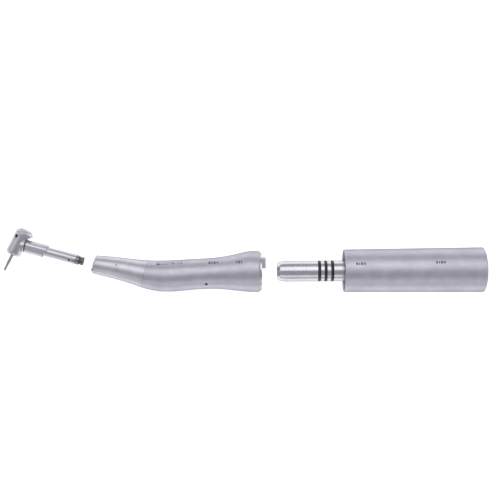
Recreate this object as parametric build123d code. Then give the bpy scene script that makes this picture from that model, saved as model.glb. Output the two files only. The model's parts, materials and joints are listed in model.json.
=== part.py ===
from build123d import *
from math import cos, pi, radians, sin, tan
import os

# A dental motor handset laid out in its three modules: the micromotor with its
# coupling spigot, the angled handpiece body that plugs onto the spigot, and the
# latch head whose neck plugs into the handpiece's nose.
#
# Millimetres. The parts are drawn with X counted from the motor's front face and
# stored with it counted from the mouth of the hose socket. +X runs along the motor's
# axis towards the hose, +Y is the side that the handpiece bends to, +Z is up.

# Clearances
press_gap = 0.01  # between pieces of one module that are pressed together
running_gap = 0.05  # radial, between a turning piece and its bearing
sliding_gap = 0.05  # radial, between pieces that plug together
seat_gap = 0.1  # between two faces that meet when plugged together

# Micromotor
motor_length = 66.0
motor_front_radius = 10.1
motor_rear_radius = 10.6
motor_wall = 1.0
motor_edge = 0.5
front_recess = 2.0
front_plate_thickness = 2.5
housing_thickness = 5.0
rear_plate_thickness = 4.0
rear_cap_thickness = 7.0
board_thickness = 0.8
hose_socket_radius = 6.2
hose_socket_depth = 5.0
contact_radius = 0.6
contact_circle = 3.6
contact_count = 4
lamp_depth = 1.6
pocket_inner_radius = 5.6
pocket_outer_radius = 8.7

# Coupling spigot
spigot_length = 31.45
spigot_radius = 4.92
spigot_wall = 1.32
spigot_tip_step = 1.22
spigot_tip_length = 3.6
spigot_slot_length = 11.0
spigot_slot_width = 0.45
spigot_slot_depth = 0.5
spigot_hole_radius = 0.45
seal_wire = 1.3
seal_proud = 0.14
seal_places = (5.5, 8.6, 11.6)  # from the motor's front face
groove_margin = 0.05

# Rotor and stator
shaft_radius = 1.5
magnet_radius = 5.2
magnet_length = 30.0
stator_inner_radius = 5.7
stator_length = 33.0
winding_length = 2.6
bearing_width = 3.0
bearing_radius = 4.2
nose_bearing_setback = 7.5
claw_length = 2.4
claw_thickness = 1.0
claw_hub_radius = 2.6
claw_setback = 3.0
claw_play = 0.2
claw_hub_length = 1.2

# Handpiece body
plug_gap = 7.15  # air between the spigot's tip and the handpiece at rest
body_rear_radius = 9.7
waist_radius = 7.32
bend_radius = 7.3
nose_radius = 4.4
flare_length = 24.5
collar_length = 4.0
grip_length = 48.5
front_length = 31.0
bend_drop = 1.75
nose_rise = 4.0
bore_tilt = 15.5  # degrees between the front bore and the motor's axis
rear_ring_radius = 8.9
rear_ring_thickness = 0.8
rear_fillet = 1.0
seal_land_length = 13.2
snap_ring_width = 1.0
snap_ring_wall = 0.55
carrier_run = 6.3  # open shaft between the bend gear and the bearing carrier
gear_chamber_radius = 5.0
gear_chamber_offset = 0.95
gear_chamber_run = 3.7  # open room in front of the bend gear
tab_width = 5.5
tab_height = 2.2
tab_reach = 1.7
tab_root = 2.2
tab_centre = 4.3
tab_level = 5.9
tab_side_gap = 0.2  # between the tab and the motor's sleeve
light_rod_radius = 0.6
light_rod_wall = 0.4  # metal between the light rod and the seals' bore
mark_radius = 0.75
grip_dot_place = 26.1
grip_dot_turn = 42  # degrees round from the top
grip_dot_bow = 0.5  # how far the centre line has bowed there, as a share of its drop

# Nose of the handpiece
nose_ring_length = 1.4
lock_end = 12.0  # depth of the seam behind the lock sleeve
front_end = 24.6  # depth of the seam in front of the grip
guide_wall = 0.55
window_radius = 0.55
index_radius = 0.4

# Head module, measured from the crossing of its neck axis and its bur axis
head_gap = 4.9  # air between the neck's end and the nose at rest
head_angle = 101.8  # degrees between the bur and the neck
neck_length = 32.35
neck_gear_run = 3.75  # from the tube's end to the gear's end
collar_place = 4.2
bell_radius = 3.35
bell_length = 3.7
sleeve_radius = 3.0
sleeve_length = 10.1
sleeve_step = 1.4
sleeve_flat = 0.25
tube_radius = 2.34
tube_bore = 1.55
end_ring_radius = 2.25
end_ring_length = 1.5
neck_shaft_radius = 0.85
pinion_pocket_radius = 2.65
pinion_pocket_end = 3.3
neck_bearing_length = 1.6
neck_hole_radius = 0.5
neck_hole_setback = 2.95
neck_slit_width = 0.5
can_radius = 3.45
can_bore = 3.0
crown_radius = 4.1
crown_offset = 0.85  # the crown overhangs the neck by this much
head_bottom = -5.65
head_top = 6.9
head_floor = 0.7
crown_start = 4.35
crown_edge = 0.5
nose_clearance = 0.25  # between the plugged nose and the crown above it
nose_flare = 0.45  # how much that room widens along the nose
head_bearing_width = 1.4
spindle_radius = 1.25
spindle_top = 5.1
cap_radius = 3.1
cap_proud = 0.65
dot_place = 3.4
dot_side = 1.6
cap_travel = 0.5
cap_gap = 0.45  # between the pushed cap and the spindle's top
cap_chamfer = 0.4
bur_radius = 0.75
bur_neck_radius = 0.6
bur_reach = 8.3
bur_neck_length = 3.2

# Gears
tooth_count = 10
tooth_fill = 0.37  # share of the pitch that a tooth takes at the pitch line
tooth_taper = 0.5  # width of a tooth's tip as a share of its width at the pitch line
head_gear_radius = 2.0
head_gear_face = 0.75
bend_gear_face = 2.0
bend_gear_bore = 0.8

# Places that follow from the sizes above
body_rear = -(spigot_length + plug_gap)
grip_rear = body_rear - rear_ring_thickness
bend_place = body_rear - grip_length
nose_place = bend_place - front_length
body_plug_travel = spigot_length + plug_gap - seat_gap
spigot_bore = spigot_radius - spigot_wall
spigot_tip_radius = spigot_radius - spigot_tip_step
spigot_bore_depth = spigot_length + 0.3
tube_end = neck_length - neck_gear_run
insertion = neck_length - collar_place
head_plug_travel = head_gap + insertion - seat_gap
apex_depth = nose_rise / sin(radians(bore_tilt))
apex_place = nose_place + nose_rise / tan(radians(bore_tilt))
bend_cone = bore_tilt / 2
bend_gear_distance = insertion - apex_depth
head_cone = (180 - head_angle) / 2
head_gear_distance = head_gear_radius / sin(radians(head_cone))
claw_place = -spigot_length + claw_setback
gear_front = apex_place + (bend_gear_distance - bend_gear_face) * cos(radians(bend_cone))
gear_back = apex_place + bend_gear_distance * cos(radians(bend_cone)) + seat_gap
front_bore = Pos(nose_place, nose_rise, 0) * Rot(0, 0, -bore_tilt)
head_frame = front_bore * Pos(-head_gap - neck_length, 0, 0)
bur_frame = head_frame * Rot(0, 0, 180 - head_angle)
hose_end_frame = Pos(-motor_length, 0, 0)

nodes = {}


def rod(start, end, radius):
    """A round bar along X."""
    base = (Align.CENTER, Align.CENTER, Align.MIN)
    return Pos(start, 0, 0) * Rot(0, 90, 0) * Cylinder(radius, end - start, align=base)


def tube(start, end, radius, bore):
    """A round bar along X with a hole through it."""
    return rod(start, end, radius) - rod(start - 1, end + 1, bore)


def turned(*points):
    """A solid of revolution about X through corners given as (place, radius)."""
    return revolve(make_face(Polyline(*points, close=True)), Axis.X, 360)


def block(start, end, width, height, across=0.0, level=0.0):
    """A box along X, centred on a place across and a level."""
    size = Box(end - start, width, height)
    return Pos((start + end) / 2, across, level) * size


def bevel_gear(cone_angle, outer, face, bore, phase):
    """A straight bevel gear about +X, its cones meeting at the origin."""
    along = Vector(cos(radians(cone_angle)), sin(radians(cone_angle)), 0)
    out = Vector(-sin(radians(cone_angle)), cos(radians(cone_angle)), 0)
    across = Vector(0, 0, 1)
    pitch_radius = outer * sin(radians(cone_angle))
    module = 2 * pitch_radius / tooth_count
    half_width = pi * module * tooth_fill / 2
    tip, root = 0.8 * module, 1.1 * module
    inner_scale = (outer - face) / outer

    def tooth_outline(scale):
        foot = along * outer - out * (root + 0.05)
        top = along * outer + out * tip
        foot_half = half_width * (1 + (1 - tooth_taper) * root / tip)
        top_half = half_width * tooth_taper
        corners = (
            foot - across * foot_half,
            foot + across * foot_half,
            top + across * top_half,
            top - across * top_half,
        )
        return Wire.make_polygon([corner * scale for corner in corners], close=True)

    tooth = Solid.make_loft([tooth_outline(inner_scale), tooth_outline(1.0)], True)
    far = along * outer - out * root
    near = far * inner_scale
    gear = turned((near.X, bore), (near.X, near.Y), (far.X, far.Y), (far.X, bore))
    for number in range(tooth_count):
        gear += Rot(phase + number * 360 / tooth_count, 0, 0) * tooth
    return gear


def motor_radius_at(place):
    """Outer radius of the motor's tapered sleeve."""
    return motor_front_radius + (motor_rear_radius - motor_front_radius) * place / motor_length


def make_motor_casing():
    inner = motor_front_radius - motor_wall
    sleeve = turned(
        (0, inner),
        (0, motor_front_radius - motor_edge),
        (motor_edge, motor_radius_at(motor_edge)),
        (motor_length - motor_edge, motor_radius_at(motor_length - motor_edge)),
        (motor_length, motor_rear_radius - motor_edge),
        (motor_length, inner),
    )
    nodes["motor_sleeve"] = sleeve

    fit = inner - press_gap
    plate_back = front_recess + front_plate_thickness
    plate = tube(front_recess, plate_back, fit, spigot_radius + press_gap)
    window_sector = block(0, plate_back, 5.4, 6.0, -2.3, 7.0)
    pocket_sector = block(0, plate_back, 5.4, 6.0, 3.6, 7.0)
    annulus = tube(0, plate_back, pocket_outer_radius, pocket_inner_radius)
    lamp_room = annulus & window_sector
    pocket_room = annulus & pocket_sector
    nodes["front_plate"] = plate - lamp_room - pocket_room
    window_slab = rod(0.3, front_recess + lamp_depth / 2, motor_rear_radius)
    lamp_slab = rod(front_recess + lamp_depth / 2, plate_back, motor_rear_radius)
    nodes["lamp_window"] = lamp_room & window_slab
    nodes["lamp"] = lamp_room & lamp_slab
    nodes["tab_socket"] = pocket_room & rod(front_recess, plate_back, motor_rear_radius)

    housing_back = plate_back + housing_thickness
    bearing_start = housing_back - bearing_width
    housing = tube(plate_back, housing_back, fit, spigot_bore)
    housing -= rod(bearing_start, housing_back + 1, bearing_radius + press_gap)
    nodes["front_housing"] = housing
    nodes["front_bearing"] = tube(
        bearing_start, housing_back, bearing_radius, shaft_radius + running_gap
    )

    cap_start = motor_length - rear_cap_thickness
    board_start = cap_start - board_thickness - 0.6
    rear_start = board_start - rear_plate_thickness - 0.6
    rear_back = rear_start + rear_plate_thickness
    rear_plate = tube(rear_start, rear_back, fit, shaft_radius + 0.6)
    rear_plate -= rod(rear_start - 1, rear_start + bearing_width, bearing_radius + press_gap)
    nodes["rear_bearing_plate"] = rear_plate
    nodes["rear_bearing"] = tube(
        rear_start, rear_start + bearing_width, bearing_radius, shaft_radius + running_gap
    )
    nodes["sensor_board"] = tube(board_start, board_start + board_thickness, fit, 2.4)
    cap = rod(cap_start, motor_length, fit)
    socket_floor = motor_length - hose_socket_depth
    cap -= rod(socket_floor, motor_length + 1, hose_socket_radius)
    contacts = []
    for number in range(contact_count):
        turn = Rot(45 + number * 360 / contact_count, 0, 0)
        pin = turn * Pos(0, contact_circle, 0) * rod(cap_start, socket_floor, contact_radius)
        contacts.append(pin)
        cap -= pin
    nodes["rear_cap"] = cap
    nodes["hose_contacts"] = Compound(children=contacts)
    return housing_back, rear_start


def make_stator(front, rear):
    inner = motor_front_radius - motor_wall - press_gap
    middle = (front + rear) / 2
    stator_start = middle - stator_length / 2
    stator_end = middle + stator_length / 2
    nodes["stator"] = tube(stator_start, stator_end, inner, stator_inner_radius)
    coils = []
    for start in (stator_start - winding_length, stator_end):
        coils.append(tube(start, start + winding_length, inner - 0.6, stator_inner_radius + 0.3))
    nodes["stator_windings"] = Compound(children=coils)
    return middle


def make_spigot():
    plate_back = front_recess + front_plate_thickness
    spigot = turned(
        (-spigot_length, spigot_bore),
        (-spigot_length, spigot_tip_radius),
        (-spigot_length + 0.35 * spigot_tip_length, 0.5 * (spigot_tip_radius + spigot_radius) + 0.25),
        (-spigot_length + spigot_tip_length, spigot_radius),
        (plate_back, spigot_radius),
        (plate_back, spigot_bore),
    )
    seal_outer = spigot_radius + seal_proud
    groove_floor = seal_outer - seal_wire - groove_margin
    for number, place in enumerate(seal_places):
        half = seal_wire / 2 + groove_margin
        spigot -= tube(-place - half, -place + half, spigot_radius + 1, groove_floor)
        path = Plane(origin=(-place, 0, 0), z_dir=(1, 0, 0))
        ring = path * Torus(seal_outer - seal_wire / 2, seal_wire / 2)
        nodes[f"spigot_seal_{number + 1}"] = ring
    slot_end = -spigot_length + spigot_tip_length + spigot_slot_length
    slot_start = -spigot_length + spigot_tip_length
    slot_level = spigot_radius - spigot_slot_depth + 1
    spigot -= block(slot_start, slot_end, spigot_slot_width, 2.0, 0, slot_level)
    air_place = -(seal_places[0] + seal_places[1]) / 2
    drill = Rot(24, 0, 0) * Pos(air_place, 0, spigot_radius)
    spigot -= drill * Cylinder(spigot_hole_radius, 1.2)
    nodes["coupling_spigot"] = spigot
    bearing_start = -spigot_length + nose_bearing_setback
    nodes["nose_bearing"] = tube(
        bearing_start,
        bearing_start + bearing_width,
        spigot_bore - press_gap,
        shaft_radius + running_gap,
    )


def make_rotor(middle, rear):
    shaft_end = rear + rear_plate_thickness + 0.4
    hub_start = claw_place + claw_length
    nodes["rotor_shaft"] = rod(hub_start, shaft_end, shaft_radius)
    nodes["rotor_magnet"] = tube(
        middle - magnet_length / 2, middle + magnet_length / 2, magnet_radius, shaft_radius
    )
    hub = tube(hub_start, hub_start + 1.6, claw_hub_radius, shaft_radius)
    claws = tube(claw_place, hub_start, claw_hub_radius, shaft_radius)
    claws &= block(claw_place, hub_start, 2 * claw_hub_radius, claw_thickness)
    nodes["drive_dog"] = hub + claws


def body_form():
    """The handpiece's outer form: round sections along a bowed centre line."""
    flare = flare_length
    taper = front_length / 31.0
    stations = (
        (collar_length, 0.0, body_rear_radius),
        (0.43 * flare, -0.12 * bend_drop, 0.70 * body_rear_radius + 0.30 * waist_radius),
        (0.80 * flare, -0.34 * bend_drop, 0.13 * body_rear_radius + 0.87 * waist_radius),
        (grip_length - 15.0, -0.68 * bend_drop, waist_radius),
        (grip_length, -bend_drop, bend_radius),
        (grip_length + 5.7 * taper, -0.64 * bend_drop, 0.85 * bend_radius + 0.15 * nose_radius),
        (grip_length + 11.4 * taper, 0.03 * nose_rise, 0.62 * bend_radius + 0.38 * nose_radius),
        (grip_length + 22.7 * taper, 0.64 * nose_rise, 0.24 * bend_radius + 0.76 * nose_radius),
        (grip_length + front_length, nose_rise, nose_radius),
        (grip_length + front_length + 3.0, nose_rise + 0.6, nose_radius - 0.2),
    )
    sections = []
    for distance, offset, radius in stations:
        plane = Plane(origin=(body_rear - distance, offset, 0), z_dir=(-1, 0, 0))
        sections.append(plane * Circle(radius))
    return loft(sections) + rod(body_rear - collar_length, 0, body_rear_radius)


def front_slab(start, end):
    """Everything between two depths of the front bore."""
    return front_bore * block(start, end, 60, 60)


def make_body(form):
    guide_radius = sleeve_radius + sliding_gap + guide_wall
    back_radius = tube_radius + sliding_gap + guide_wall
    guide_step = sleeve_length + 0.4
    guide_back = tube_end - collar_place - 0.2
    guide = turned(
        (nose_ring_length / 2, sleeve_radius + sliding_gap),
        (nose_ring_length / 2, guide_radius),
        (guide_step + guide_wall, guide_radius),
        (guide_step + guide_wall, back_radius),
        (guide_back, back_radius),
        (guide_back, tube_radius + sliding_gap),
        (guide_step, tube_radius + sliding_gap),
        (guide_step, sleeve_radius + sliding_gap),
    )
    nodes["neck_guide"] = front_bore * guide
    guide_room = rod(nose_ring_length / 2, guide_step + guide_wall, guide_radius + press_gap)
    guide_room += rod(guide_step, front_end + 4, back_radius + press_gap)
    guide_room = front_bore * guide_room

    nose = form & front_slab(0, nose_ring_length)
    nose = fillet(nose.edges().sort_by(Axis.X)[:1], 0.9)
    nose -= front_bore * rod(-1, nose_ring_length + 1, sleeve_radius + sliding_gap)
    nose -= guide_room
    window_spot = front_bore * Rot(37, 0, 0) * Pos(0.4, 0, 3.85)
    window = window_spot * Rot(0, -52, 0) * Cylinder(window_radius, 1.1)
    nodes["light_window"] = window & (form & front_slab(0.05, nose_ring_length)) - guide_room
    nodes["nose_ring"] = nose - window

    lock = form & front_slab(nose_ring_length + sliding_gap, lock_end - sliding_gap)
    lock -= front_bore * rod(0, lock_end, guide_radius + running_gap)
    spot = front_bore * Rot(-28, 0, 0) * Pos(lock_end - 1.1, 0, 0)
    dimple = spot * Pos(0, 0, nose_radius + 0.85) * Cylinder(index_radius, 1.1)
    nodes["lock_index"] = dimple & lock
    nodes["lock_sleeve"] = lock - dimple

    front = form & front_slab(lock_end, front_end)
    nodes["front_section"] = front - guide_room

    grip = form - front_slab(-20, front_end + press_gap) - rod(grip_rear, 0, 20)
    grip = fillet(grip.edges().sort_by(Axis.X)[-1:], rear_fillet)
    bore_radius = spigot_radius + sliding_gap
    land_radius = spigot_radius + seal_proud + sliding_gap
    bore_end = body_rear - spigot_bore_depth
    land_end = body_rear - seal_land_length
    carrier_radius = bore_radius - 0.15
    carrier_start = gear_back + carrier_run
    chamber = Pos(0, -gear_chamber_offset, 0) * rod(
        gear_front - gear_chamber_run, carrier_start, gear_chamber_radius
    )
    hollow = rod(bore_end, body_rear + 1, bore_radius)
    hollow += rod(land_end, body_rear + 1, land_radius)
    hollow += rod(carrier_start, bore_end + 0.1, carrier_radius)
    hollow += chamber
    grip -= hollow

    ring_end = land_end - 0.6
    ring_radius = bore_radius + snap_ring_wall
    grip -= rod(ring_end - snap_ring_width, ring_end, ring_radius)
    snap = tube(ring_end - snap_ring_width, ring_end, ring_radius - press_gap, bore_radius)
    opening = block(ring_end - 2, ring_end + 1, 1.6, 8, 0, -ring_radius)
    nodes["retaining_ring"] = snap - opening

    ring = tube(grip_rear, body_rear, rear_ring_radius, land_radius)
    tab = block(
        body_rear - tab_root, body_rear + tab_reach, tab_width, tab_height, tab_centre, tab_level
    )
    tab &= rod(grip_rear - tab_root, 0, motor_front_radius - motor_wall - tab_side_gap)
    tab_face = Pos(tab_reach - 0.3, 0, 0) * block(
        body_rear, body_rear + 0.3, tab_width - 1.4, tab_height - 1.0, tab_centre - 0.4, tab_level - 0.3
    )
    light_level = land_radius + light_rod_wall + light_rod_radius
    light = Rot(118, 0, 0) * Pos(0, 0, light_level) * rod(
        carrier_start + 1, body_rear, light_rod_radius
    )
    nodes["rear_ring"] = ring - tab - light
    nodes["latch_tab"] = tab - tab_face
    nodes["tab_contact_face"] = tab_face
    nodes["light_rod"] = light
    spot = Pos(body_rear - grip_dot_place, -grip_dot_bow * bend_drop, 0) * Rot(grip_dot_turn, 0, 0)
    mark = spot * Pos(0, 0, waist_radius) * Cylinder(mark_radius, 1.6)
    nodes["ratio_dot"] = mark & grip
    nodes["grip"] = grip - tab - light - mark

    carrier = tube(
        carrier_start, bore_end, carrier_radius - press_gap, shaft_radius + 0.5
    )
    bearing_room = bearing_radius - 0.6
    places = (carrier_start, bore_end - bearing_width)
    for name, start in zip(("carrier_front_bearing", "carrier_rear_bearing"), places):
        carrier -= rod(start, start + bearing_width, bearing_room)
        nodes[name] = tube(
            start, start + bearing_width, bearing_room - press_gap, shaft_radius + running_gap
        )
    nodes["bearing_carrier"] = carrier

    gear_place = Pos(apex_place, 0, 0)
    bend_gear = bevel_gear(bend_cone, bend_gear_distance, bend_gear_face, bend_gear_bore, 0)
    nodes["bend_gear"] = gear_place * bend_gear
    hub_end = claw_place - body_plug_travel - claw_play
    claw_tip = hub_end + claw_length - claw_play
    shaft = rod(gear_back, hub_end, shaft_radius)
    shaft += rod(gear_back - bend_gear_face, gear_back + 0.1, bend_gear_bore - press_gap)
    nodes["body_drive_shaft"] = shaft
    hub = tube(hub_end - claw_hub_length, hub_end, claw_hub_radius, shaft_radius)
    claws = tube(hub_end, claw_tip, claw_hub_radius, shaft_radius)
    claws &= block(hub_end, claw_tip, claw_thickness, 2 * claw_hub_radius)
    nodes["driven_dog"] = hub + claws


def make_head():
    neck = turned(
        (0, tube_bore),
        (0, bell_radius - 0.35),
        (bell_length - 0.5, bell_radius),
        (bell_length, bell_radius - 0.2),
        (bell_length, tube_radius),
        (tube_end, tube_radius),
        (tube_end, tube_bore),
    )
    can = turned(
        (head_bottom, 0),
        (head_bottom, can_radius - 1.2),
        (head_bottom + 0.35, can_radius - 0.45),
        (head_bottom + 1.1, can_radius),
        (crown_start + 1, can_radius),
        (crown_start + 1, 0),
    )
    crown = turned(
        (crown_start, 0),
        (crown_start, crown_radius - crown_edge),
        (crown_start + crown_edge, crown_radius),
        (head_top - 1.6 * crown_edge, crown_radius),
        (head_top, crown_radius - 1.6 * crown_edge),
        (head_top, 0),
    )
    turn = Rot(0, 0, 180 - head_angle)
    sleeve_room = tube(bell_length, tube_end, sleeve_radius + 0.1, tube_radius)
    room_radius = nose_radius + nose_clearance
    nose_room = turned(
        (collar_place, 0),
        (collar_place, room_radius),
        (collar_place + crown_radius, room_radius + nose_flare),
        (collar_place + crown_radius, 0),
    )
    head = turn * (can + Pos(0, -crown_offset, 0) * crown) - sleeve_room - nose_room + neck
    cap_room = Pos(0, -crown_offset, 0) * rod(spindle_top, head_top + 1, cap_radius + sliding_gap)
    head -= turn * rod(head_bottom + head_floor, spindle_top + 0.1, can_bore)
    head -= turn * cap_room
    head -= turn * rod(head_bottom - 1, 0, bur_radius + 0.25)
    head -= rod(0.8, pinion_pocket_end, pinion_pocket_radius)
    head -= rod(0.8, tube_end + 1, tube_bore)
    hole_place = tube_end - neck_hole_setback
    hole = Rot(28, 0, 0) * Pos(hole_place, 0, tube_radius)
    head -= hole * Cylinder(neck_hole_radius, 2.2)
    slit = Rot(28, 0, 0) * block(
        hole_place + 1.1, tube_end + 1, neck_slit_width, 2.0, 0, tube_radius
    )
    head -= slit
    dot = turn * Pos(dot_place, dot_side, can_radius) * Cylinder(mark_radius, 2.0)
    nodes["head_ratio_dot"] = head_frame * (dot & head)
    nodes["head_shell"] = head_frame * (head - dot)

    collar = tube(bell_length, collar_place, sleeve_radius - 0.15, tube_radius + press_gap)
    nodes["collar_seal"] = head_frame * collar
    sleeve_end = collar_place + sleeve_length
    sleeve = tube(collar_place, sleeve_end, sleeve_radius, tube_radius + press_gap)
    sleeve -= block(sleeve_end - sleeve_step, sleeve_end + 1, 8, 8, -4.6, 0)
    flat_level = sleeve_radius - sleeve_flat + 2
    sleeve -= Rot(12, 0, 0) * block(collar_place - 1, sleeve_end + 1, 8, 4, 0, flat_level)
    nodes["neck_sleeve"] = head_frame * sleeve
    end_ring = tube(
        tube_end, tube_end + end_ring_length, end_ring_radius, neck_shaft_radius + running_gap
    )
    nodes["neck_end_ring"] = head_frame * end_ring
    bearing_bore = neck_shaft_radius + running_gap
    places = (pinion_pocket_end + 1, tube_end - neck_bearing_length)
    for name, start in zip(("neck_front_bearing", "neck_rear_bearing"), places):
        piece = tube(start, start + neck_bearing_length, tube_bore - press_gap, bearing_bore)
        nodes[name] = head_frame * piece

    pinion_x = head_gear_distance * cos(radians(head_cone))
    pinion = bevel_gear(head_cone, head_gear_distance, head_gear_face, neck_shaft_radius, 0)
    nodes["neck_pinion"] = head_frame * pinion
    crown_front = bend_gear_distance - bend_gear_face
    crown = bevel_gear(
        bend_cone, bend_gear_distance, bend_gear_face, neck_shaft_radius, 180 / tooth_count
    )
    crown_apex = front_bore * Pos(apex_depth - insertion - head_gap, 0, 0)
    nodes["neck_crown_gear"] = crown_apex * crown
    shaft_end = neck_length - bend_gear_distance + crown_front * cos(radians(bend_cone)) + 1.6
    shaft_start = pinion_x - head_gear_face * cos(radians(head_cone))
    nodes["neck_shaft"] = head_frame * rod(shaft_start, shaft_end, neck_shaft_radius - press_gap)


def make_bur_parts():
    lower_start = head_bottom + head_floor
    upper_start = spindle_top - 0.2 - head_bearing_width
    for name, start in (("lower_head_bearing", lower_start), ("upper_head_bearing", upper_start)):
        nodes[name] = bur_frame * tube(
            start, start + head_bearing_width, can_bore - press_gap, spindle_radius + running_gap
        )
    spindle = tube(lower_start + 0.1, spindle_top, spindle_radius, bur_radius + running_gap)
    nodes["chuck_spindle"] = bur_frame * spindle
    gear = bevel_gear(
        head_cone, head_gear_distance, head_gear_face, spindle_radius, 180 / tooth_count
    )
    hub_start = head_gear_distance * cos(radians(head_cone))
    gear += tube(hub_start - 0.1, upper_start - 0.1, spindle_radius + 0.45, spindle_radius)
    nodes["chuck_gear"] = bur_frame * gear

    cap_start = spindle_top + cap_travel + cap_gap
    cap_top = head_top + cap_proud
    cap = turned(
        (cap_start, 0),
        (cap_start, cap_radius - cap_chamfer),
        (cap_start + cap_chamfer, cap_radius),
        (cap_top - 0.35, cap_radius),
        (cap_top, cap_radius - 0.45),
        (cap_top, 0),
    )
    nodes["push_cap"] = bur_frame * Pos(0, -crown_offset, 0) * cap
    tip = head_bottom - bur_reach
    bur = turned(
        (tip, 0),
        (tip, bur_neck_radius - 0.1),
        (tip + 0.1, bur_neck_radius),
        (tip + bur_neck_length, bur_neck_radius),
        (tip + bur_neck_length + 0.4, bur_radius),
        (spindle_top - 1.0, bur_radius),
        (spindle_top - 1.0, 0),
    )
    nodes["bur"] = bur_frame * bur


housing_back, rear_start = make_motor_casing()
rotor_middle = make_stator(housing_back, rear_start)
make_spigot()
make_rotor(rotor_middle, rear_start)
make_body(body_form())
make_head()
make_bur_parts()

os.makedirs("parts", exist_ok=True)
for name, shape in nodes.items():
    export_step(hose_end_frame * shape, f"parts/{name}.step")
print(len(nodes), "nodes")
print("body plugs in by", body_plug_travel, "and the head by", head_plug_travel)
print("nose at", nose_place - motor_length, "crossing of the head's axes at", nose_place - motor_length
      - (head_gap + neck_length) * cos(radians(bore_tilt)), nose_rise
      + (head_gap + neck_length) * sin(radians(bore_tilt)))
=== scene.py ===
"""Looks for an endodontic motor laid out in its modules.

The motor with its coupling spigot, the angled handpiece body and the latch head
lie in line on a white table, under soft studio light. Lengths are in metres.
"""

import json
import logging
import math
from dataclasses import dataclass, field
from enum import Enum

import bmesh
import bpy
from mathutils import Matrix, Vector

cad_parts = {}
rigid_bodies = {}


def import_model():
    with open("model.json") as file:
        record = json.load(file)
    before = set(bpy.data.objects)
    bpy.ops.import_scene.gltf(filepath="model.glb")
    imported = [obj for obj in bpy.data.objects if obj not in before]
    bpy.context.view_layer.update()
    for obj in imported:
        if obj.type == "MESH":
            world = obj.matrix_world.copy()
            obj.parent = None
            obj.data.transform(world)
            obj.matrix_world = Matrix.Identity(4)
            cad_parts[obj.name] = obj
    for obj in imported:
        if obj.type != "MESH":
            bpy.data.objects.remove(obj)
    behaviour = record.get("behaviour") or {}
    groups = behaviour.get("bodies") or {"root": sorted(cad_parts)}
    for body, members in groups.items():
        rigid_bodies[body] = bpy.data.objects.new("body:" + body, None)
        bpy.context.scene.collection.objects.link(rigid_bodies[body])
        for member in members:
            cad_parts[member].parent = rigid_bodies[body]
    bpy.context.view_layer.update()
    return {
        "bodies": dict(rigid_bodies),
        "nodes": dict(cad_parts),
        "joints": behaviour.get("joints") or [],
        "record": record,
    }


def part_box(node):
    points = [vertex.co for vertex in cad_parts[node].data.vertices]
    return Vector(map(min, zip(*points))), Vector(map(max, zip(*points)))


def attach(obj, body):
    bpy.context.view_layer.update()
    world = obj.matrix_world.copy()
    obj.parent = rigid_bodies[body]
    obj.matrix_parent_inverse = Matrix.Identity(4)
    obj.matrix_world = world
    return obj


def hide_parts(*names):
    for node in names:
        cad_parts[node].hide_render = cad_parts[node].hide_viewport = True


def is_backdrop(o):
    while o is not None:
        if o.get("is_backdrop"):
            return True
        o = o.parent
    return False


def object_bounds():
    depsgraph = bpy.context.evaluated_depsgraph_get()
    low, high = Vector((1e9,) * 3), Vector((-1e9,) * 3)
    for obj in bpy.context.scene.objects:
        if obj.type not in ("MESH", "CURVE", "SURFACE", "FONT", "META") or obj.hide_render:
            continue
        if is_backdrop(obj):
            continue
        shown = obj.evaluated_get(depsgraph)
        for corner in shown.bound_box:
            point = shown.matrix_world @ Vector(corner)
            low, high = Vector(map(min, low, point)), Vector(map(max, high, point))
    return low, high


MM = 0.001
LOG = logging.getLogger("endodontic_motor")

ALONG = Vector((1.0, 0.0, 0.0))
UP = Vector((0.0, 0.0, 1.0))

# Finishes
SPECKLE_CELLS = 180.0  # cells per metre of the slow change in tint
PIT_CELLS = 7000.0
LINE_CELLS = 6500.0
LINE_STRETCH = 0.03  # a line's cells are this much finer across than along
HAZE_CELLS = 700.0
CLEAR_COAT_ROUGHNESS = 0.08
GLASS_IOR = 1.5
BAND_SCALE = 0.314  # a wave texture's scale for bands one metre apart

# Etched rows
STROKE_CELL = 0.15  # longest cell of a stroke, in millimetres
STROKE_GAP = 0.45  # between two strokes, in millimetres
STROKE_LIFT = 0.004 * MM  # height over the skin
ROW_START_HEIGHT = 0.05  # rows are dropped onto the skin from here

# Seams
SEAM_SEGMENTS = 120
SEAM_SIDES = 8
SEAM_SINK = 0.55  # share of the line's radius that lies under the skin
SEAM_REACH = 0.02  # the skin is looked for from this far outside

# Lathe work
LATHE_SEGMENTS = 200
WELD_DISTANCE = 1e-7
SLIVER_LENGTH = 1e-8
SHORT_SIDE_SHARE = 0.45  # a rounding takes at most this share of a side


class Grain(Enum):
    """How the surface of a metal piece was worked."""

    BLASTED = "fine even speckle from bead blasting"
    TURNED = "fine rings round the turning axis"
    DRAWN = "fine lines along the axis"
    POLISHED = "soft cloudy polish"


class Mark(Enum):
    """Rows of etched strokes, each a run of stroke lengths in millimetres."""

    MAKER = (1.6, 0.7, 1.1, 0.5, 0.9, 1.4, 0.6, 1.0, 0.8)
    SERIES = (0.9, 0.5, 1.0, 0.7)
    SERIAL = (0.5, 0.8, 0.4)


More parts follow.
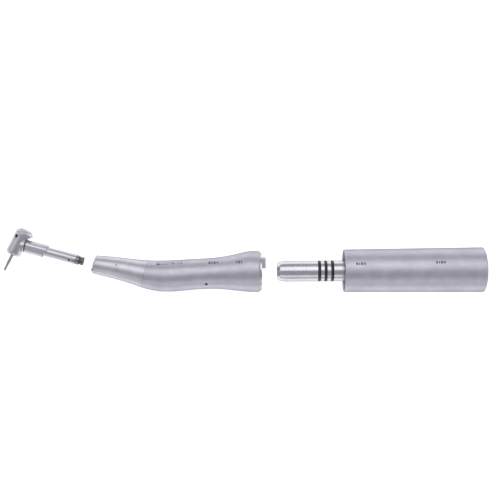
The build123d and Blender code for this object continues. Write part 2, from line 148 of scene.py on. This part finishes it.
class Sheet:
    """A material's node tree, with short calls to add and join its nodes."""

    def __init__(self, name: str) -> None:
        """Start an empty material.

        Args:
            name: The material's name.
        """
        self.material = bpy.data.materials.new(name)
        self.material.use_nodes = True
        self.tree = self.material.node_tree
        self.tree.nodes.clear()
        self.output = self.add("ShaderNodeOutputMaterial")
        self.shader = self.add("ShaderNodeBsdfPrincipled")
        self.join(self.shader, "BSDF", self.output, "Surface")

    def add(self, kind: str, **sockets: object) -> bpy.types.Node:
        """Add a node and set its unlinked sockets.

        Args:
            kind: Blender's name for the node type.
            **sockets: Socket values, with underscores for spaces.

        Returns:
            The new node.
        """
        node = self.tree.nodes.new(kind)
        for name, value in sockets.items():
            node.inputs[name.replace("_", " ")].default_value = value
        return node

    def join(self, source: bpy.types.Node, out: str, target: bpy.types.Node, into: str) -> None:
        """Link one node's output to another's input.

        Args:
            source: The node that gives the value.
            out: The name of its output.
            target: The node that takes it.
            into: The name of its input.
        """
        self.tree.links.new(source.outputs[out], target.inputs[into])

    def stretched(self, turn: float, scale: tuple[float, float, float]) -> bpy.types.Node:
        """Object coordinates turned about the vertical and stretched.

        Args:
            turn: Angle of the piece's axis from +X, in degrees.
            scale: Stretch along, across and up.

        Returns:
            The mapping node.
        """
        coordinates = self.add("ShaderNodeTexCoord")
        turned = self.add("ShaderNodeMapping")
        turned.inputs["Rotation"].default_value = (0.0, 0.0, math.radians(-turn))
        self.join(coordinates, "Object", turned, "Vector")
        mapping = self.add("ShaderNodeMapping")
        mapping.inputs["Scale"].default_value = scale
        self.join(turned, "Vector", mapping, "Vector")
        return mapping

    def noise(self, mapping: bpy.types.Node, scale: float, detail: float = 2.0) -> bpy.types.Node:
        """Noise over stretched coordinates.

        Args:
            mapping: The coordinates.
            scale: Cells per metre.
            detail: Octaves.

        Returns:
            The noise node.
        """
        node = self.add("ShaderNodeTexNoise", Scale=scale, Detail=detail)
        self.join(mapping, "Vector", node, "Vector")
        return node

    def tinted(self, source: bpy.types.Node, low: tuple, high: tuple) -> None:
        """Colour the shader between two tints by a noise.

        Args:
            source: The noise.
            low: Tint of its dark parts.
            high: Tint of its light parts.
        """
        ramp = self.add("ShaderNodeValToRGB")
        ramp.color_ramp.elements[0].position = 0.35
        ramp.color_ramp.elements[0].color = (*low, 1.0)
        ramp.color_ramp.elements[1].position = 0.65
        ramp.color_ramp.elements[1].color = (*high, 1.0)
        self.join(source, "Fac", ramp, "Fac")
        self.join(ramp, "Color", self.shader, "Base Color")

    def varied(self, source: bpy.types.Node, low: float, high: float) -> None:
        """Vary the shader's roughness by a noise.

        Args:
            source: The noise.
            low: Roughness in its dark parts.
            high: Roughness in its light parts.
        """
        spread = self.add(
            "ShaderNodeMapRange", From_Min=0.3, From_Max=0.7, To_Min=low, To_Max=high
        )
        self.join(source, "Fac", spread, "Value")
        self.join(spread, "Result", self.shader, "Roughness")

    def bumped(self, source: bpy.types.Node, strength: float, depth: float) -> None:
        """Raise the surface by a noise.

        Args:
            source: The noise.
            strength: Share of the depth that shows.
            depth: Height of the relief in metres.
        """
        bump = self.add("ShaderNodeBump", Strength=strength, Distance=depth)
        self.join(source, "Fac", bump, "Height")
        self.join(bump, "Normal", self.shader, "Normal")


def shade(tint: tuple, factor: float) -> tuple:
    """A tint made darker or lighter.

    Args:
        tint: Red, green and blue.
        factor: Multiplier.

    Returns:
        The new tint, kept between 0 and 1.
    """
    return tuple(min(1.0, channel * factor) for channel in tint)


@dataclass(frozen=True)
class Metal:
    """A worked metal surface."""

    name: str
    tint: tuple[float, float, float]
    roughness: float
    grain: Grain
    turn: float = 0.0
    mottle: float = 0.05
    # Grey of the reflection at grazing angles; values well under the metal's own tint dim its
    # edges as painted shade.
    edge: float = 0.7

    def material(self) -> bpy.types.Material:
        """Build the finish.

        Returns:
            The material.
        """
        sheet = Sheet(self.name)
        sheet.shader.inputs["Metallic"].default_value = 1.0
        # The edge tint sets the grazing reflection; where it is set low it darkens the edges as
        # painted shade.
        edge_tint_and_painted_shade = (self.edge, self.edge, self.edge, 1.0)
        sheet.shader.inputs["Specular Tint"].default_value = edge_tint_and_painted_shade
        even = sheet.stretched(self.turn, (1.0, 1.0, 1.0))
        clouds = sheet.noise(even, SPECKLE_CELLS, 3.0)
        darker, lighter = shade(self.tint, 1.0 - self.mottle), shade(self.tint, 1.0 + self.mottle)
        sheet.tinted(clouds, darker, lighter)
        if self.grain is Grain.BLASTED:
            pits = sheet.noise(even, PIT_CELLS, 3.0)
            sheet.bumped(pits, 0.22, 0.02 * MM)
            worn = sheet.noise(even, 900.0, 2.0)
            sheet.varied(worn, self.roughness - 0.05, self.roughness + 0.05)
        elif self.grain is Grain.TURNED:
            across = sheet.stretched(self.turn, (1.0, LINE_STRETCH, LINE_STRETCH))
            rings = sheet.noise(across, LINE_CELLS, 2.0)
            sheet.bumped(rings, 0.14, 0.01 * MM)
            sheet.varied(rings, self.roughness - 0.05, self.roughness + 0.06)
        elif self.grain is Grain.DRAWN:
            lengthwise = sheet.stretched(self.turn, (LINE_STRETCH, 1.0, 1.0))
            lines = sheet.noise(lengthwise, LINE_CELLS, 2.0)
            sheet.bumped(lines, 0.14, 0.01 * MM)
            sheet.varied(lines, self.roughness - 0.05, self.roughness + 0.06)
        else:
            haze = sheet.noise(even, HAZE_CELLS, 4.0)
            sheet.bumped(haze, 0.05, 0.01 * MM)
            sheet.varied(haze, self.roughness - 0.03, self.roughness + 0.05)
        return sheet.material


@dataclass(frozen=True)
class Moulding:
    """Rubber, plastic or enamel, with a fine moulded texture."""

    name: str
    tint: tuple[float, float, float]
    roughness: float
    texture: float = 4000.0
    relief: float = 0.15
    coat: float = 0.0
    mottle: float = 0.15

    def material(self) -> bpy.types.Material:
        """Build the finish.

        Returns:
            The material.
        """
        sheet = Sheet(self.name)
        sheet.shader.inputs["Coat Weight"].default_value = self.coat
        sheet.shader.inputs["Coat Roughness"].default_value = CLEAR_COAT_ROUGHNESS
        even = sheet.stretched(0.0, (1.0, 1.0, 1.0))
        skin = sheet.noise(even, self.texture, 3.0)
        clouds = sheet.noise(even, self.texture / 12, 2.0)
        darker, lighter = shade(self.tint, 1.0 - self.mottle), shade(self.tint, 1.0 + self.mottle)
        sheet.tinted(clouds, darker, lighter)
        sheet.varied(skin, self.roughness - 0.06, self.roughness + 0.08)
        sheet.bumped(skin, self.relief, 0.02 * MM)
        return sheet.material


@dataclass(frozen=True)
class RodGlass:
    """Glass of a light guide or window."""

    name: str
    tint: tuple[float, float, float]
    clearness: float

    def material(self) -> bpy.types.Material:
        """Build the finish.

        Returns:
            The material.
        """
        sheet = Sheet(self.name)
        sheet.shader.inputs["Transmission Weight"].default_value = self.clearness
        sheet.shader.inputs["IOR"].default_value = GLASS_IOR
        even = sheet.stretched(0.0, (1.0, 1.0, 1.0))
        fibres = sheet.noise(even, 2500.0, 2.0)
        sheet.tinted(fibres, shade(self.tint, 0.85), shade(self.tint, 1.1))
        sheet.varied(fibres, 0.08, 0.2)
        return sheet.material


@dataclass(frozen=True)
class Banded:
    """Wound wire or stacked sheet, in fine bands."""

    name: str
    dark: tuple[float, float, float]
    light: tuple[float, float, float]
    pitch: float
    metallic: float
    along: bool = True

    def material(self) -> bpy.types.Material:
        """Build the finish.

        Returns:
            The material.
        """
        sheet = Sheet(self.name)
        sheet.shader.inputs["Metallic"].default_value = self.metallic
        even = sheet.stretched(0.0, (1.0, 1.0, 1.0))
        wave = sheet.add(
            "ShaderNodeTexWave", Scale=BAND_SCALE / self.pitch, Distortion=0.6, Detail=2.0
        )
        wave.wave_type = "BANDS"
        wave.bands_direction = "X" if self.along else "Y"
        sheet.join(even, "Vector", wave, "Vector")
        sheet.tinted(wave, self.dark, self.light)
        sheet.varied(sheet.noise(even, 1500.0), 0.3, 0.5)
        sheet.bumped(wave, 0.4, 0.05 * MM)
        return sheet.material


FINISHES: dict[str, object] = {
    # Edge values well under a metal's tint are painted shade: they darken grazing edges, most on
    # the two cases, less on the head and bright steel.
    "blasted_case": Metal("blasted_case", (0.60, 0.588, 0.665), 0.48, Grain.BLASTED, edge=0.15),
    "satin_case": Metal("satin_case", (0.67, 0.66, 0.73), 0.41, Grain.POLISHED, -8.0, edge=0.15),
    "head_steel": Metal("head_steel", (0.63, 0.625, 0.68), 0.32, Grain.POLISHED, 62.7, edge=0.42),
    "bright_steel": Metal("bright_steel", (0.68, 0.67, 0.73), 0.27, Grain.TURNED, edge=0.45),
    "machined_aluminium": Metal("machined_aluminium", (0.72, 0.72, 0.74), 0.35, Grain.TURNED),
    "bearing_steel": Metal("bearing_steel", (0.62, 0.61, 0.62), 0.18, Grain.TURNED),
    "gear_steel": Metal("gear_steel", (0.30, 0.29, 0.30), 0.34, Grain.POLISHED, mottle=0.15),
    "magnet": Metal("magnet", (0.34, 0.34, 0.37), 0.3, Grain.POLISHED, mottle=0.1),
    "gold_contact": Metal("gold_contact", (0.83, 0.62, 0.26), 0.22, Grain.TURNED),
    "bur_steel": Metal("bur_steel", (0.47, 0.47, 0.48), 0.33, Grain.DRAWN, 62.7, edge=0.6),
    "core_iron": Banded("core_iron", (0.10, 0.10, 0.11), (0.28, 0.28, 0.30), 0.35 * MM, 1.0),
    "copper_wire": Banded(
        "copper_wire", (0.30, 0.10, 0.04), (0.75, 0.34, 0.14), 0.3 * MM, 1.0, along=False
    ),
    "circuit_board": Moulding("circuit_board", (0.02, 0.16, 0.07), 0.35, 1500.0, 0.1, 0.4, 0.3),
    "dark_plastic": Moulding("dark_plastic", (0.03, 0.03, 0.035), 0.5, 3500.0, 0.25),
    "lamp_body": Moulding("lamp_body", (0.72, 0.70, 0.58), 0.3, 2500.0, 0.05, 0.5, 0.06),
    "black_rubber": Moulding("black_rubber", (0.022, 0.022, 0.026), 0.42, 3000.0, 0.2),
    "blue_enamel": Moulding("blue_enamel", (0.012, 0.014, 0.11), 0.25, 2500.0, 0.05, 0.6, 0.2),
    "grey_enamel": Moulding("grey_enamel", (0.12, 0.12, 0.16), 0.4, 2500.0, 0.05, 0.1, 0.1),
    "dark_glass": RodGlass("dark_glass", (0.03, 0.03, 0.04), 0.2),
    "clear_glass": RodGlass("clear_glass", (0.86, 0.88, 0.9), 0.7),
}


class Paintbox:
    """Builds each finish once and hands it out by its slot."""

    def __init__(self) -> None:
        """Start with nothing built."""
        self.built: dict[str, bpy.types.Material] = {}

    def get(self, slot: str) -> bpy.types.Material:
        """A slot's material.

        Args:
            slot: The record's material slot.

        Returns:
            The material, built when first asked for.
        """
        if slot not in self.built:
            self.built[slot] = FINISHES[slot].material()
        return self.built[slot]


@dataclass
class Bench:
    """The loaded frame and what every sub-assembly needs from it."""

    nodes: dict[str, bpy.types.Object]
    slots: dict[str, str]
    joints: dict[str, dict]
    paint: Paintbox

    def axis(self, joint: str) -> tuple[Vector, Vector]:
        """Where a joint's axis runs.

        Args:
            joint: The joint's name.

        Returns:
            A point on the axis and its direction.
        """
        found = self.joints[joint]
        return Vector(found.get("pos_m", (0.0, 0.0, 0.0))), Vector(found["axis"]).normalized()

    def dress(self, node: str, sharp: float = 30.0) -> bpy.types.Object:
        """Give a carried-over piece its slot's finish and smooth shading.

        Args:
            node: The node's name.
            sharp: Edges steeper than this many degrees stay crisp.

        Returns:
            The node's object.
        """
        piece = self.nodes[node]
        piece.data.materials.clear()
        piece.data.materials.append(self.paint.get(self.slots[node]))
        smooth(piece, sharp)
        return piece

    def fit(self, piece: bpy.types.Object, body: str, slot: str, *nodes: str) -> bpy.types.Object:
        """Finish a new piece and hang it on its body.

        Args:
            piece: The piece.
            body: The body that it moves with.
            slot: Its material slot.
            *nodes: The nodes that it stands for.

        Returns:
            The piece.
        """
        piece.data.materials.clear()
        piece.data.materials.append(self.paint.get(slot))
        if nodes:
            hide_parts(*nodes)
        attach(piece, body)
        LOG.info("%s rides on %s, %d faces", piece.name, body, len(piece.data.polygons))
        return piece


def smooth(piece: bpy.types.Object, sharp: float) -> None:
    """Shade a mesh smooth, with crisp edges above an angle.

    Args:
        piece: The mesh object.
        sharp: The angle in degrees.
    """
    mesh = piece.data
    if mesh.has_custom_normals:
        attribute = mesh.attributes.get("custom_normal")
        if attribute is not None:
            mesh.attributes.remove(attribute)
    form = bmesh.new()
    form.from_mesh(mesh)
    limit = math.radians(sharp)
    for face in form.faces:
        face.smooth = True
    for edge in form.edges:
        edge.smooth = not edge.is_manifold or edge.calc_face_angle(0.0) < limit
    form.to_mesh(mesh)
    form.free()


def new_piece(name: str, form: bmesh.types.BMesh) -> bpy.types.Object:
    """Put a built form into the scene.

    Args:
        name: The piece's name.
        form: The form, which is freed.

    Returns:
        The object.
    """
    mesh = bpy.data.meshes.new(name)
    form.to_mesh(mesh)
    form.free()
    piece = bpy.data.objects.new(name, mesh)
    bpy.context.scene.collection.objects.link(piece)
    return piece


def eased(
    corners: list[tuple[float, float]],
    radius: float,
    steps: int,
) -> list[tuple[float, float]]:
    """Round every corner of a closed outline.

    Args:
        corners: The outline's corners.
        radius: Radius of the rounding, less where a side is short.
        steps: Points along each rounding, less one.

    Returns:
        The rounded outline.
    """
    outline = []
    count = len(corners)
    for number, corner in enumerate(corners):
        here = Vector(corner)
        before = Vector(corners[number - 1]) - here
        after = Vector(corners[(number + 1) % count]) - here
        longest = SHORT_SIDE_SHARE * min(before.length, after.length)
        cut = min(radius, longest)
        start = here + before.normalized() * cut
        end = here + after.normalized() * cut
        for step in range(steps + 1):
            t = step / steps
            point = (1 - t) ** 2 * start + 2 * t * (1 - t) * here + t * t * end
            outline.append((point.x, point.y))
    return outline


def turned(
    name: str,
    outline: list[tuple[float, float]],
    frame: Matrix,
    segments: int = LATHE_SEGMENTS,
) -> bpy.types.Object:
    """A piece turned on a lathe from a closed outline.

    Args:
        name: The piece's name.
        outline: Closed outline of (place along the axis, radius).
        frame: Places the axis, which runs along the frame's X.
        segments: Facets round the piece.

    Returns:
        The object.
    """
    form = bmesh.new()
    rings = []
    for number in range(segments):
        angle = 2 * math.pi * number / segments
        spoke = [
            form.verts.new(frame @ Vector((x, r * math.cos(angle), r * math.sin(angle))))
            for x, r in outline
        ]
        rings.append(spoke)
    count = len(outline)
    for number, ring in enumerate(rings):
        following = rings[(number + 1) % segments]
        for place in range(count):
            after = (place + 1) % count
            form.faces.new((ring[place], ring[after], following[after], following[place]))
    bmesh.ops.remove_doubles(form, verts=form.verts, dist=WELD_DISTANCE)
    bmesh.ops.dissolve_degenerate(form, edges=form.edges, dist=SLIVER_LENGTH)
    bmesh.ops.recalc_face_normals(form, faces=form.faces)
    piece = new_piece(name, form)
    smooth(piece, 40.0)
    return piece


def axis_frame(point: Vector, direction: Vector) -> Matrix:
    """A frame whose X runs along a direction in the level plane.

    Args:
        point: The frame's origin.
        direction: The direction of X.

    Returns:
        The frame.
    """
    along = direction.normalized()
    across = UP.cross(along).normalized()
    return Matrix(
        (
            (along.x, across.x, UP.x, point.x),
            (along.y, across.y, UP.y, point.y),
            (along.z, across.z, UP.z, point.z),
            (0.0, 0.0, 0.0, 1.0),
        )
    )


def strokes(
    name: str,
    skin: bpy.types.Object,
    start: Vector,
    along: Vector,
    mark: Mark,
    height: float,
) -> bpy.types.Object:
    """A row of etched strokes laid on a skin from above.

    Args:
        name: The piece's name.
        skin: The mesh that carries them.
        start: Where the row starts, seen from above.
        along: Direction of the row.
        mark: The strokes' lengths.
        height: Their height across the row.

    Returns:
        The object.
    """
    form = bmesh.new()
    across = UP.cross(along).normalized() * (height / 2)
    place = 0.0
    for length in mark.value:
        grid = []
        cells = max(2, round(length / STROKE_CELL))
        for step in range(cells + 1):
            centre = start + along * (place + length * MM * step / cells)
            column = []
            for side in (-1.0, -0.5, 0.0, 0.5, 1.0):
                above = centre + across * side + UP * ROW_START_HEIGHT
                hit, spot, normal, _ = skin.ray_cast(above, -UP)
                if hit:
                    column.append(form.verts.new(spot + normal * STROKE_LIFT))
            grid.append(column)
        for left, right in zip(grid, grid[1:]):
            for row in range(min(len(left), len(right)) - 1):
                form.faces.new((left[row], right[row], right[row + 1], left[row + 1]))
        place += (length + STROKE_GAP) * MM
    bmesh.ops.recalc_face_normals(form, faces=form.faces)
    return new_piece(name, form)


def seam_ring(
    name: str,
    skin: bpy.types.Object,
    point: Vector,
    normal: Vector,
    wire: float,
) -> bpy.types.Object:
    """A fine dark line round a skin where two shells meet.

    Args:
        name: The piece's name.
        skin: The mesh that the line goes round.
        point: A point on the seam's plane, on the axis.
        normal: The plane's normal.
        wire: Radius of the line.

    Returns:
        The object.
    """
    frame = axis_frame(point, normal)
    form = bmesh.new()
    rings = []
    for number in range(SEAM_SEGMENTS):
        angle = 2 * math.pi * number / SEAM_SEGMENTS
        out = (frame.to_3x3() @ Vector((0.0, math.cos(angle), math.sin(angle)))).normalized()
        hit, spot, _, _ = skin.ray_cast(point + out * SEAM_REACH, -out)
        if not hit:
            continue
        centre = spot - out * wire * SEAM_SINK
        ring = []
        for side in range(SEAM_SIDES):
            turn = 2 * math.pi * side / SEAM_SIDES
            offset = out * math.cos(turn) + normal * math.sin(turn)
            ring.append(form.verts.new(centre + offset * wire))
        rings.append(ring)
    for number, ring in enumerate(rings):
        following = rings[(number + 1) % len(rings)]
        for side in range(SEAM_SIDES):
            after = (side + 1) % SEAM_SIDES
            form.faces.new((ring[side], ring[after], following[after], following[side]))
    bmesh.ops.recalc_face_normals(form, faces=form.faces)
    piece = new_piece(name, form)
    smooth(piece, 60.0)
    return piece


@dataclass
class Motor:
    """The micromotor: case, front face, spigot, seals and what is inside."""

    bench: Bench
    edge_radius: float = 0.55 * MM
    wall: float = 1.0 * MM
    label_height: float = 1.15 * MM
    inside: tuple[str, ...] = (
        "front_plate",
        "lamp_window",
        "lamp",
        "tab_socket",
        "front_housing",
        "front_bearing",
        "rear_bearing_plate",
        "rear_bearing",
        "sensor_board",
        "rear_cap",
        "hose_contacts",
        "stator",
        "stator_windings",
        "nose_bearing",
        "rotor_shaft",
        "rotor_magnet",
        "drive_dog",
    )

    def build(self) -> None:
        """Build the case and its labels, and dress the rest."""
        case = self.case()
        self.labels(case)
        for node in self.inside:
            self.bench.dress(node)
        self.bench.dress("coupling_spigot", 25.0)
        for number in (1, 2, 3):
            self.bench.dress(f"spigot_seal_{number}", 60.0)
        LOG.info("motor dressed")

    def case(self) -> bpy.types.Object:
        """The tapered sleeve, with soft edges at both ends.

        Returns:
            The sleeve.
        """
        low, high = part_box("motor_sleeve")
        front_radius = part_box("front_plate")[1].z + self.wall
        rear_radius = high.z
        bore = front_radius - self.wall
        corners = [
            (low.x, bore),
            (low.x, front_radius),
            (high.x, rear_radius),
            (high.x, bore),
        ]
        outline = eased(corners, self.edge_radius, 6)
        frame = axis_frame(Vector((0.0, 0.0, 0.0)), ALONG)
        piece = turned("motor_case", outline, frame)
        return self.bench.fit(piece, "motor", "blasted_case", "motor_sleeve")

    def labels(self, case: bpy.types.Object) -> None:
        """Two rows of etched strokes.

        Args:
            case: The sleeve that carries them.
        """
        low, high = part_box("motor_sleeve")
        rows = (
            ("motor_label_front", 0.075, 3.4 * MM, Mark.SERIES),
            ("motor_label_rear", 0.635, 3.8 * MM, Mark.SERIES),
        )
        for name, share, across, mark in rows:
            start = Vector((low.x + share * (high.x - low.x), across, 0.0))
            row = strokes(name, case, start, ALONG, mark, self.label_height)
            self.bench.fit(row, "motor", "grey_enamel")


@dataclass
class Handpiece:
    """The angled body: grip, front section, lock sleeve, nose and rear coupling."""

    bench: Bench
    seam_wire: float = 0.09 * MM
    label_height: float = 1.3 * MM
    shells: tuple[str, ...] = ("grip", "front_section", "lock_sleeve", "nose_ring")
    fittings: tuple[str, ...] = (
        "neck_guide",
        "light_window",
        "rear_ring",
        "latch_tab",
        "tab_contact_face",
        "light_rod",
        "ratio_dot",
        "lock_index",
        "retaining_ring",
        "bearing_carrier",
        "carrier_front_bearing",
        "carrier_rear_bearing",
        "body_drive_shaft",
        "bend_gear",
        "driven_dog",
    )

    def build(self) -> None:
        """Dress the shells and fittings, and add a seam and labels."""
        for node in self.shells + self.fittings:
            self.bench.dress(node, 28.0)
        self.seams()
        self.labels()
        LOG.info("handpiece dressed")

    def seams(self) -> None:
        """A fine line round the grip's front end, where it meets the front section."""
        nose, bore = self.bench.axis("lock_twist")
        low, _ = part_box("front_section")
        depth = (Vector((low.x, nose.y, 0.0)) - nose).dot(bore)
        LOG.info("front section starts about %.1f mm into the bore", depth / MM)
        grip = self.bench.nodes["grip"]
        nearest = min((Vector(v.co) - nose).dot(bore) for v in grip.data.vertices)
        place = nose + bore * (nearest + 0.02 * MM)
        seam = seam_ring("grip_seam", grip, place, bore, self.seam_wire)
        self.bench.fit(seam, "handpiece", "gear_steel")

    def labels(self) -> None:
        """Rows of etched strokes along the grip."""
        grip = self.bench.nodes["grip"]
        low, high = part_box("grip")
        span = high.x - low.x
        rows = (
            ("grip_label_maker", 0.135, 4.0 * MM, 0.04, Mark.MAKER),
            ("grip_label_series", 0.57, 4.4 * MM, 0.03, Mark.SERIES),
            ("grip_label_serial", 0.80, 4.6 * MM, 0.03, Mark.SERIAL),
        )
        for name, share, across, slope, mark in rows:
            start = Vector((low.x + share * span, across, 0.0))
            along = Vector((1.0, slope, 0.0)).normalized()
            row = strokes(name, grip, start, along, mark, self.label_height)
            self.bench.fit(row, "handpiece", "grey_enamel")


@dataclass
class LatchHead:
    """The head with its neck, chuck, push cap and bur."""

    bench: Bench
    blend_cell: float = 0.13 * MM
    fittings: tuple[str, ...] = (
        "head_ratio_dot",
        "collar_seal",
        "neck_sleeve",
        "neck_end_ring",
        "neck_front_bearing",
        "neck_rear_bearing",
        "lower_head_bearing",
        "upper_head_bearing",
        "neck_shaft",
        "neck_pinion",
        "neck_crown_gear",
        "chuck_spindle",
        "chuck_gear",
        "push_cap",
        "bur",
    )

    def build(self) -> None:
        """Blend the head's shell and dress the rest."""
        self.shell()
        for node in self.fittings:
            self.bench.dress(node, 28.0)
        LOG.info("head dressed")

    def shell(self) -> bpy.types.Object:
        """The head's casting, with soft blends where its rounds meet.

        Returns:
            The shell.
        """
        source = self.bench.nodes["head_shell"]
        mesh = source.data.copy()
        mesh.name = "head_casting"
        piece = bpy.data.objects.new("head_casting", mesh)
        bpy.context.scene.collection.objects.link(piece)
        remesh = piece.modifiers.new("even_cells", "REMESH")
        remesh.mode = "VOXEL"
        remesh.voxel_size = self.blend_cell
        ease = piece.modifiers.new("soft_blends", "SMOOTH")
        ease.factor = 0.5
        ease.iterations = 5
        graph = bpy.context.evaluated_depsgraph_get()
        baked = bpy.data.meshes.new_from_object(piece.evaluated_get(graph))
        piece.modifiers.clear()
        piece.data = baked
        smooth(piece, 50.0)
        return self.bench.fit(piece, "head", "head_steel", "head_shell")


@dataclass
class Studio:
    """Table, lights and camera."""

    table_drop: float = 0.05 * MM
    view_centre: tuple[float, float] = (-0.11018, 0.01016)
    camera_height: float = 0.450
    camera_roll: float = -0.46
    camera_lens: float = 68.5
    camera_sensor: float = 36.0
    table_half: float = 3.0
    table_glow: float = 0.68
    surround_strength: float = 0.36
    lamps: list[tuple] = field(
        default_factory=lambda: [
            ("overhead_box", (-0.11, 0.29, 0.50), (0.9, 0.42), 1.3),
            ("front_box", (-0.11, -0.75, 0.45), (1.2, 0.35), 1.0),
            ("left_box", (-0.85, 0.05, 0.45), (0.4, 0.6), 0.4),
            ("right_box", (0.60, 0.05, 0.45), (0.4, 0.6), 0.3),
        ]
    )

    def build(self) -> None:
        """Set the table, the lights and the camera."""
        self.table()
        self.surround()
        for name, place, size, power in self.lamps:
            self.lamp(name, place, size, power)
        self.camera()
        LOG.info("studio set")

    def table(self) -> None:
        """A wide pale table top with a faint even texture."""
        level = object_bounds()[0].z - self.table_drop
        form = bmesh.new()
        half = self.table_half
        corners = [(-half, -half), (half, -half), (half, half), (-half, half)]
        form.faces.new([form.verts.new((x, y, level)) for x, y in corners])
        piece = new_piece("table_top", form)
        sheet = Sheet("table_white")
        even = sheet.stretched(0.0, (1.0, 1.0, 1.0))
        sheet.tinted(sheet.noise(even, 40.0), (0.93, 0.93, 0.93), (0.95, 0.95, 0.95))
        sheet.shader.inputs["Roughness"].default_value = 0.9
        sheet.shader.inputs["Emission Color"].default_value = (1.0, 1.0, 1.0, 1.0)
        sheet.shader.inputs["Emission Strength"].default_value = self.table_glow
        piece.data.materials.append(sheet.material)
        piece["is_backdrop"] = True

    def surround(self) -> None:
        """A plain light surround."""
        world = bpy.data.worlds.new("surround")
        world.use_nodes = True
        shade_node = world.node_tree.nodes["Background"]
        shade_node.inputs["Color"].default_value = (0.98, 0.98, 1.0, 1.0)
        shade_node.inputs["Strength"].default_value = self.surround_strength
        bpy.context.scene.world = world
        bpy.context.scene.view_settings.view_transform = "Standard"

    def lamp(self, name: str, place: tuple, size: tuple, power: float) -> None:
        """A soft box that faces the middle of the table.

        Args:
            name: The lamp's name.
            place: Its centre.
            size: Its width and height.
            power: Its power in watts.
        """
        light = bpy.data.lights.new(name, "AREA")
        light.shape = "RECTANGLE"
        light.size, light.size_y = size
        light.energy = power
        lamp = bpy.data.objects.new(name, light)
        bpy.context.scene.collection.objects.link(lamp)
        lamp.location = place
        aim = Vector((*self.view_centre, 0.0)) - Vector(place)
        lamp.rotation_mode = "QUATERNION"
        lamp.rotation_quaternion = aim.to_track_quat("-Z", "Y")

    def camera(self) -> None:
        """A camera straight above, turned a little."""
        lens = bpy.data.cameras.new("overhead_camera")
        lens.lens = self.camera_lens
        lens.sensor_width = self.camera_sensor
        lens.clip_start = 0.01
        lens.clip_end = 20.0
        camera = bpy.data.objects.new("overhead_camera", lens)
        bpy.context.scene.collection.objects.link(camera)
        camera.location = (*self.view_centre, self.camera_height)
        camera.rotation_euler = (0.0, 0.0, math.radians(self.camera_roll))
        bpy.context.scene.camera = camera


def main() -> None:
    """Load the frame, dress every sub-assembly and set the studio."""
    logging.basicConfig(level=logging.INFO, format="%(name)s: %(message)s")
    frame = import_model()
    bench = Bench(
        nodes=frame["nodes"],
        slots={part["node"]: part["material_slot"] for part in frame["record"]["subparts"]},
        joints={joint["name"]: joint for joint in frame["joints"]},
        paint=Paintbox(),
    )
    Motor(bench).build()
    Handpiece(bench).build()
    LatchHead(bench).build()
    Studio().build()


if __name__ == "__main__":
    main()
